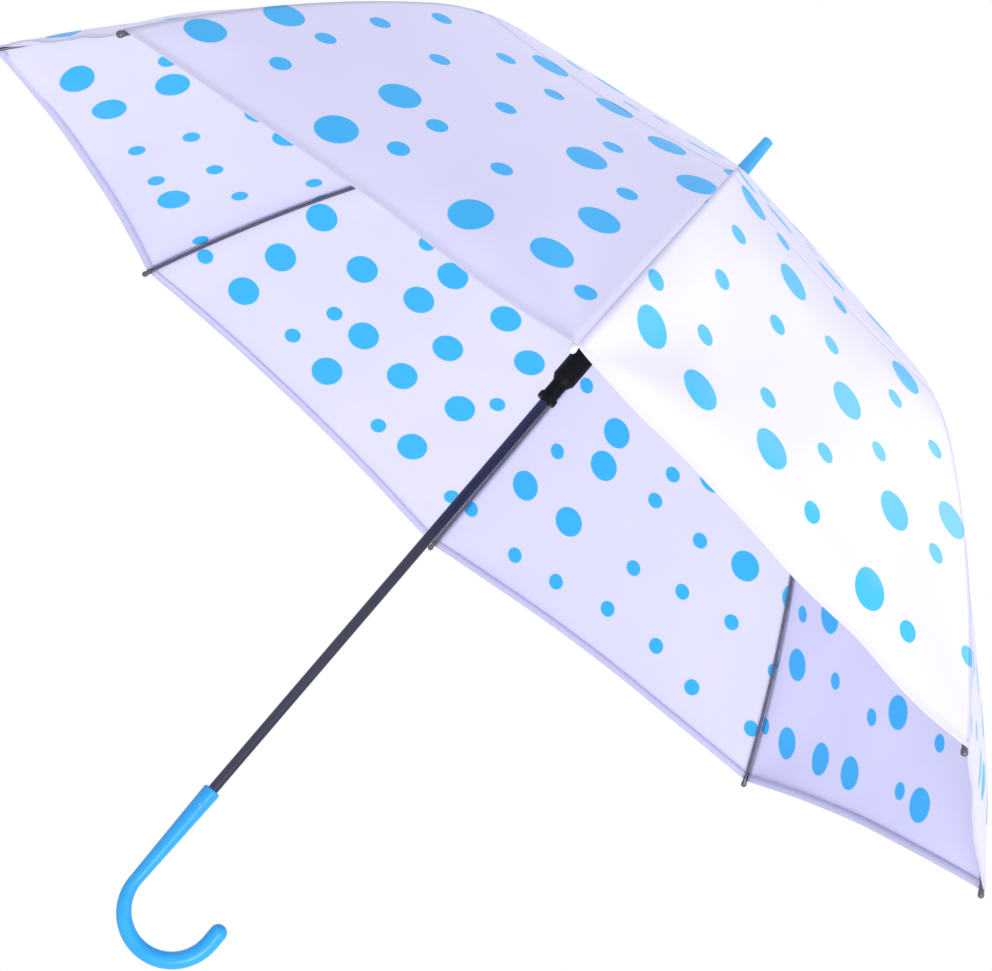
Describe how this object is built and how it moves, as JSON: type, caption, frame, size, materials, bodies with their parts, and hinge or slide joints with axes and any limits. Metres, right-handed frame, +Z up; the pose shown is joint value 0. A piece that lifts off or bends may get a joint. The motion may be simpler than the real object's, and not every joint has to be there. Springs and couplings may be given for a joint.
{
  "type": "bubble umbrella",
  "caption": "Manual stick umbrella with a domed milky film canopy with printed dots, spring wire ribs, runner, slim dark shaft and crook handle.",
  "frame": {"origin": "on the shaft axis, level with the lowest point of the crook, which is the middle of the underside of the box of the open umbrella", "axes": "+Z up the shaft towards the ferrule, +Y from the shaft towards the crook's open leg, +X completes the set and runs along rib_1"},
  "size_m": [0.9746, 0.9746, 0.774],
  "materials": {
    "canopy_film": "glossy milky film with printed blue dots",
    "rib_wire": "dark coated spring wire",
    "shaft_steel": "dark glossy coated steel tube",
    "handle_plastic": "glossy pearly blue",
    "ferrule_plastic": "satin light blue",
    "runner_plastic": "black moulded plastic",
    "washer_plastic": "plain white",
    "bright_wire": "plain steel"
  },
  "bodies": {
    "stick": {"shaft_tube": "shaft_steel", "crook_handle": "handle_plastic", "ferrule": "ferrule_plastic", "film_washer": "washer_plastic", "notch_hub": "runner_plastic", "notch_wire_ring": "bright_wire", "stop_pin": "bright_wire", "notch_pin": "bright_wire", "handle_pin": "bright_wire"},
    "rib_1": {"rib_1": "rib_wire"},
    "rib_end_1": {"rib_end_1": "rib_wire"},
    "stretcher_1": {"stretcher_1": "rib_wire"},
    "gore_upper_1": {"gore_upper_1": "canopy_film"},
    "gore_lower_1": {"gore_lower_1": "canopy_film"},
    "rib_2": {"rib_2": "rib_wire"},
    "rib_end_2": {"rib_end_2": "rib_wire"},
    "stretcher_2": {"stretcher_2": "rib_wire"},
    "gore_upper_2": {"gore_upper_2": "canopy_film"},
    "gore_lower_2": {"gore_lower_2": "canopy_film"},
    "rib_3": {"rib_3": "rib_wire"},
    "rib_end_3": {"rib_end_3": "rib_wire"},
    "stretcher_3": {"stretcher_3": "rib_wire"},
    "gore_upper_3": {"gore_upper_3": "canopy_film"},
    "gore_lower_3": {"gore_lower_3": "canopy_film"},
    "rib_4": {"rib_4": "rib_wire"},
    "rib_end_4": {"rib_end_4": "rib_wire"},
    "stretcher_4": {"stretcher_4": "rib_wire"},
    "gore_upper_4": {"gore_upper_4": "canopy_film"},
    "gore_lower_4": {"gore_lower_4": "canopy_film"},
    "rib_5": {"rib_5": "rib_wire"},
    "rib_end_5": {"rib_end_5": "rib_wire"},
    "stretcher_5": {"stretcher_5": "rib_wire"},
    "gore_upper_5": {"gore_upper_5": "canopy_film"},
    "gore_lower_5": {"gore_lower_5": "canopy_film"},
    "rib_6": {"rib_6": "rib_wire"},
    "rib_end_6": {"rib_end_6": "rib_wire"},
    "stretcher_6": {"stretcher_6": "rib_wire"},
    "gore_upper_6": {"gore_upper_6": "canopy_film"},
    "gore_lower_6": {"gore_lower_6": "canopy_film"},
    "rib_7": {"rib_7": "rib_wire"},
    "rib_end_7": {"rib_end_7": "rib_wire"},
    "stretcher_7": {"stretcher_7": "rib_wire"},
    "gore_upper_7": {"gore_upper_7": "canopy_film"},
    "gore_lower_7": {"gore_lower_7": "canopy_film"},
    "rib_8": {"rib_8": "rib_wire"},
    "rib_end_8": {"rib_end_8": "rib_wire"},
    "stretcher_8": {"stretcher_8": "rib_wire"},
    "gore_upper_8": {"gore_upper_8": "canopy_film"},
    "gore_lower_8": {"gore_lower_8": "canopy_film"},
    "runner": {"runner": "runner_plastic", "runner_wire_ring": "bright_wire"},
    "upper_catch": {"upper_catch": "bright_wire"},
    "lower_catch": {"lower_catch": "bright_wire"}
  },
  "joints": [
    {"name": "rib_1_pivot", "type": "hinge", "parent": "stick", "child": "rib_1", "pos_m": [0.0075, 0, 0.73468], "axis": [0, 1, 0], "range_deg": [0, 67.38]},
    {"name": "rib_2_pivot", "type": "hinge", "parent": "stick", "child": "rib_2", "pos_m": [0.0053, 0.0053, 0.73468], "axis": [-0.7071, 0.7071, 0], "range_deg": [0, 67.39]},
    {"name": "rib_3_pivot", "type": "hinge", "parent": "stick", "child": "rib_3", "pos_m": [0, 0.0075, 0.73468], "axis": [-1, 0, 0], "range_deg": [0, 67.39]},
    {"name": "rib_4_pivot", "type": "hinge", "parent": "stick", "child": "rib_4", "pos_m": [-0.0053, 0.0053, 0.73468], "axis": [-0.7071, -0.7071, 0], "range_deg": [0, 67.39]},
    {"name": "rib_5_pivot", "type": "hinge", "parent": "stick", "child": "rib_5", "pos_m": [-0.0075, 0, 0.73468], "axis": [0, -1, 0], "range_deg": [0, 67.39]},
    {"name": "rib_6_pivot", "type": "hinge", "parent": "stick", "child": "rib_6", "pos_m": [-0.0053, -0.0053, 0.73468], "axis": [0.7071, -0.7071, 0], "range_deg": [0, 67.39]},
    {"name": "rib_7_pivot", "type": "hinge", "parent": "stick", "child": "rib_7", "pos_m": [0, -0.0075, 0.73468], "axis": [1, 0, 0], "range_deg": [0, 67.39]},
    {"name": "rib_8_pivot", "type": "hinge", "parent": "stick", "child": "rib_8", "pos_m": [0.0053, -0.0053, 0.73468], "axis": [0.7071, 0.7071, 0], "range_deg": [0, 67.39]},
    {"name": "stretcher_1_pivot", "type": "hinge", "parent": "rib_1", "child": "stretcher_1", "pos_m": [0.2207, 0, 0.65447], "axis": [0, 1, 0], "range_deg": [-134.77, 0]},
    {"name": "stretcher_2_pivot", "type": "hinge", "parent": "rib_2", "child": "stretcher_2", "pos_m": [0.15606, 0.15606, 0.65447], "axis": [-0.7071, 0.7071, 0], "range_deg": [-134.77, 0]},
    {"name": "stretcher_3_pivot", "type": "hinge", "parent": "rib_3", "child": "stretcher_3", "pos_m": [0, 0.2207, 0.65447], "axis": [-1, 0, 0], "range_deg": [-134.77, 0]},
    {"name": "stretcher_4_pivot", "type": "hinge", "parent": "rib_4", "child": "stretcher_4", "pos_m": [-0.15606, 0.15606, 0.65447], "axis": [-0.7071, -0.7071, 0], "range_deg": [-134.77, 0]},
    {"name": "stretcher_5_pivot", "type": "hinge", "parent": "rib_5", "child": "stretcher_5", "pos_m": [-0.2207, 0, 0.65447], "axis": [0, -1, 0], "range_deg": [-134.77, 0]},
    {"name": "stretcher_6_pivot", "type": "hinge", "parent": "rib_6", "child": "stretcher_6", "pos_m": [-0.15606, -0.15606, 0.65447], "axis": [0.7071, -0.7071, 0], "range_deg": [-134.77, 0]},
    {"name": "stretcher_7_pivot", "type": "hinge", "parent": "rib_7", "child": "stretcher_7", "pos_m": [0, -0.2207, 0.65447], "axis": [1, 0, 0], "range_deg": [-134.77, 0]},
    {"name": "stretcher_8_pivot", "type": "hinge", "parent": "rib_8", "child": "stretcher_8", "pos_m": [0.15606, -0.15606, 0.65447], "axis": [0.7071, 0.7071, 0], "range_deg": [-134.77, 0]},
    {"name": "runner_pivot", "type": "hinge", "parent": "stretcher_1", "child": "runner", "pos_m": [0.0075, 0, 0.57427], "axis": [0, 1, 0], "range_deg": [0, 67.39]},
    {"name": "rib_1_bend", "type": "hinge", "parent": "rib_1", "child": "rib_end_1", "pos_m": [0.28149, 0, 0.63904], "axis": [0, 1, 0], "range_deg": [-21.34, 0]},
    {"name": "rib_2_bend", "type": "hinge", "parent": "rib_2", "child": "rib_end_2", "pos_m": [0.19905, 0.19905, 0.63904], "axis": [-0.7071, 0.7071, 0], "range_deg": [-21.34, 0]},
    {"name": "rib_3_bend", "type": "hinge", "parent": "rib_3", "child": "rib_end_3", "pos_m": [0, 0.28149, 0.63904], "axis": [-1, 0, 0], "range_deg": [-21.34, 0]},
    {"name": "rib_4_bend", "type": "hinge", "parent": "rib_4", "child": "rib_end_4", "pos_m": [-0.19905, 0.19905, 0.63904], "axis": [-0.7071, -0.7071, 0], "range_deg": [-21.34, 0]},
    {"name": "rib_5_bend", "type": "hinge", "parent": "rib_5", "child": "rib_end_5", "pos_m": [-0.28149, 0, 0.63904], "axis": [0, -1, 0], "range_deg": [-21.34, 0]},
    {"name": "rib_6_bend", "type": "hinge", "parent": "rib_6", "child": "rib_end_6", "pos_m": [-0.19905, -0.19905, 0.63904], "axis": [0.7071, -0.7071, 0], "range_deg": [-21.34, 0]},
    {"name": "rib_7_bend", "type": "hinge", "parent": "rib_7", "child": "rib_end_7", "pos_m": [0, -0.28149, 0.63904], "axis": [1, 0, 0], "range_deg": [-21.34, 0]},
    {"name": "rib_8_bend", "type": "hinge", "parent": "rib_8", "child": "rib_end_8", "pos_m": [0.19905, -0.19905, 0.63904], "axis": [0.7071, 0.7071, 0], "range_deg": [-21.34, 0]},
    {"name": "gore_upper_1_fold", "type": "hinge", "parent": "stick", "child": "gore_upper_1", "pos_m": [0.0047, 0.00194, 0.74076], "axis": [-0.3827, 0.9239, 0], "range_deg": [0, 64.6], "deforming": ["gore_upper_1"]},
    {"name": "gore_upper_2_fold", "type": "hinge", "parent": "stick", "child": "gore_upper_2", "pos_m": [0.00194, 0.0047, 0.74076], "axis": [-0.9239, 0.3827, 0], "range_deg": [0, 64.6], "deforming": ["gore_upper_2"]},
    {"name": "gore_upper_3_fold", "type": "hinge", "parent": "stick", "child": "gore_upper_3", "pos_m": [-0.00194, 0.0047, 0.74076], "axis": [-0.9239, -0.3827, 0], "range_deg": [0, 64.6], "deforming": ["gore_upper_3"]},
    {"name": "gore_upper_4_fold", "type": "hinge", "parent": "stick", "child": "gore_upper_4", "pos_m": [-0.0047, 0.00194, 0.74076], "axis": [-0.3827, -0.9239, 0], "range_deg": [0, 64.6], "deforming": ["gore_upper_4"]},
    {"name": "gore_upper_5_fold", "type": "hinge", "parent": "stick", "child": "gore_upper_5", "pos_m": [-0.0047, -0.00194, 0.74076], "axis": [0.3827, -0.9239, 0], "range_deg": [0, 64.6], "deforming": ["gore_upper_5"]},
    {"name": "gore_upper_6_fold", "type": "hinge", "parent": "stick", "child": "gore_upper_6", "pos_m": [-0.00194, -0.0047, 0.74076], "axis": [0.9239, -0.3827, 0], "range_deg": [0, 64.6], "deforming": ["gore_upper_6"]},
    {"name": "gore_upper_7_fold", "type": "hinge", "parent": "stick", "child": "gore_upper_7", "pos_m": [0.00194, -0.0047, 0.74076], "axis": [0.9239, 0.3827, 0], "range_deg": [0, 64.6], "deforming": ["gore_upper_7"]},
    {"name": "gore_upper_8_fold", "type": "hinge", "parent": "stick", "child": "gore_upper_8", "pos_m": [0.0047, -0.00194, 0.74076], "axis": [0.3827, 0.9239, 0], "range_deg": [0, 64.6], "deforming": ["gore_upper_8"]},
    {"name": "gore_lower_1_fold", "type": "hinge", "parent": "gore_upper_1", "child": "gore_lower_1", "pos_m": [0.24149, 0.10003, 0.64155], "axis": [-0.3827, 0.9239, 0], "range_deg": [-20.84, 0], "deforming": ["gore_lower_1"]},
    {"name": "gore_lower_2_fold", "type": "hinge", "parent": "gore_upper_2", "child": "gore_lower_2", "pos_m": [0.10003, 0.24149, 0.64155], "axis": [-0.9239, 0.3827, 0], "range_deg": [-20.84, 0], "deforming": ["gore_lower_2"]},
    {"name": "gore_lower_3_fold", "type": "hinge", "parent": "gore_upper_3", "child": "gore_lower_3", "pos_m": [-0.10003, 0.24149, 0.64155], "axis": [-0.9239, -0.3827, 0], "range_deg": [-20.84, 0], "deforming": ["gore_lower_3"]},
    {"name": "gore_lower_4_fold", "type": "hinge", "parent": "gore_upper_4", "child": "gore_lower_4", "pos_m": [-0.24149, 0.10003, 0.64155], "axis": [-0.3827, -0.9239, 0], "range_deg": [-20.84, 0], "deforming": ["gore_lower_4"]},
    {"name": "gore_lower_5_fold", "type": "hinge", "parent": "gore_upper_5", "child": "gore_lower_5", "pos_m": [-0.24149, -0.10003, 0.64155], "axis": [0.3827, -0.9239, 0], "range_deg": [-20.84, 0], "deforming": ["gore_lower_5"]},
    {"name": "gore_lower_6_fold", "type": "hinge", "parent": "gore_upper_6", "child": "gore_lower_6", "pos_m": [-0.10003, -0.24149, 0.64155], "axis": [0.9239, -0.3827, 0], "range_deg": [-20.84, 0], "deforming": ["gore_lower_6"]},
    {"name": "gore_lower_7_fold", "type": "hinge", "parent": "gore_upper_7", "child": "gore_lower_7", "pos_m": [0.10003, -0.24149, 0.64155], "axis": [0.9239, 0.3827, 0], "range_deg": [-20.84, 0], "deforming": ["gore_lower_7"]},
    {"name": "gore_lower_8_fold", "type": "hinge", "parent": "gore_upper_8", "child": "gore_lower_8", "pos_m": [0.24149, -0.10003, 0.64155], "axis": [0.3827, 0.9239, 0], "range_deg": [-20.84, 0], "deforming": ["gore_lower_8"]},
    {"name": "upper_catch_press", "type": "hinge", "parent": "stick", "child": "upper_catch", "pos_m": [0, 0, 0.50804], "axis": [-0.3827, 0.9239, 0], "range_deg": [0, 8], "stiffness_Nm_per_rad": 0.004, "deforming": ["upper_catch"]},
    {"name": "lower_catch_press", "type": "hinge", "parent": "stick", "child": "lower_catch", "pos_m": [0, 0, 0.21315], "axis": [-0.3827, 0.9239, 0], "range_deg": [0, 8], "stiffness_Nm_per_rad": 0.004, "deforming": ["lower_catch"]}
  ],
  "couplings": [
    {"joint": "rib_2_pivot", "follows": "rib_1_pivot", "ratio": 1},
    {"joint": "rib_3_pivot", "follows": "rib_1_pivot", "ratio": 1},
    {"joint": "rib_4_pivot", "follows": "rib_1_pivot", "ratio": 1},
    {"joint": "rib_5_pivot", "follows": "rib_1_pivot", "ratio": 1},
    {"joint": "rib_6_pivot", "follows": "rib_1_pivot", "ratio": 1},
    {"joint": "rib_7_pivot", "follows": "rib_1_pivot", "ratio": 1},
    {"joint": "rib_8_pivot", "follows": "rib_1_pivot", "ratio": 1},
    {"joint": "stretcher_1_pivot", "follows": "rib_1_pivot", "ratio": -2},
    {"joint": "stretcher_2_pivot", "follows": "rib_1_pivot", "ratio": -2},
    {"joint": "stretcher_3_pivot", "follows": "rib_1_pivot", "ratio": -2},
    {"joint": "stretcher_4_pivot", "follows": "rib_1_pivot", "ratio": -2},
    {"joint": "stretcher_5_pivot", "follows": "rib_1_pivot", "ratio": -2},
    {"joint": "stretcher_6_pivot", "follows": "rib_1_pivot", "ratio": -2},
    {"joint": "stretcher_7_pivot", "follows": "rib_1_pivot", "ratio": -2},
    {"joint": "stretcher_8_pivot", "follows": "rib_1_pivot", "ratio": -2},
    {"joint": "runner_pivot", "follows": "rib_1_pivot", "ratio": 1},
    {"joint": "rib_1_bend", "follows": "rib_1_pivot", "ratio": -0.3165},
    {"joint": "rib_2_bend", "follows": "rib_1_pivot", "ratio": -0.3165},
    {"joint": "rib_3_bend", "follows": "rib_1_pivot", "ratio": -0.3165},
    {"joint": "rib_4_bend", "follows": "rib_1_pivot", "ratio": -0.3165},
    {"joint": "rib_5_bend", "follows": "rib_1_pivot", "ratio": -0.3165},
    {"joint": "rib_6_bend", "follows": "rib_1_pivot", "ratio": -0.3165},
    {"joint": "rib_7_bend", "follows": "rib_1_pivot", "ratio": -0.3165},
    {"joint": "rib_8_bend", "follows": "rib_1_pivot", "ratio": -0.3165},
    {"joint": "gore_upper_1_fold", "follows": "rib_1_pivot", "ratio": 0.9585},
    {"joint": "gore_upper_2_fold", "follows": "rib_1_pivot", "ratio": 0.9585},
    {"joint": "gore_upper_3_fold", "follows": "rib_1_pivot", "ratio": 0.9585},
    {"joint": "gore_upper_4_fold", "follows": "rib_1_pivot", "ratio": 0.9585},
    {"joint": "gore_upper_5_fold", "follows": "rib_1_pivot", "ratio": 0.9585},
    {"joint": "gore_upper_6_fold", "follows": "rib_1_pivot", "ratio": 0.9585},
    {"joint": "gore_upper_7_fold", "follows": "rib_1_pivot", "ratio": 0.9585},
    {"joint": "gore_upper_8_fold", "follows": "rib_1_pivot", "ratio": 0.9585},
    {"joint": "gore_lower_1_fold", "follows": "rib_1_pivot", "ratio": -0.309},
    {"joint": "gore_lower_2_fold", "follows": "rib_1_pivot", "ratio": -0.309},
    {"joint": "gore_lower_3_fold", "follows": "rib_1_pivot", "ratio": -0.309},
    {"joint": "gore_lower_4_fold", "follows": "rib_1_pivot", "ratio": -0.309},
    {"joint": "gore_lower_5_fold", "follows": "rib_1_pivot", "ratio": -0.309},
    {"joint": "gore_lower_6_fold", "follows": "rib_1_pivot", "ratio": -0.309},
    {"joint": "gore_lower_7_fold", "follows": "rib_1_pivot", "ratio": -0.309},
    {"joint": "gore_lower_8_fold", "follows": "rib_1_pivot", "ratio": -0.309}
  ]
}
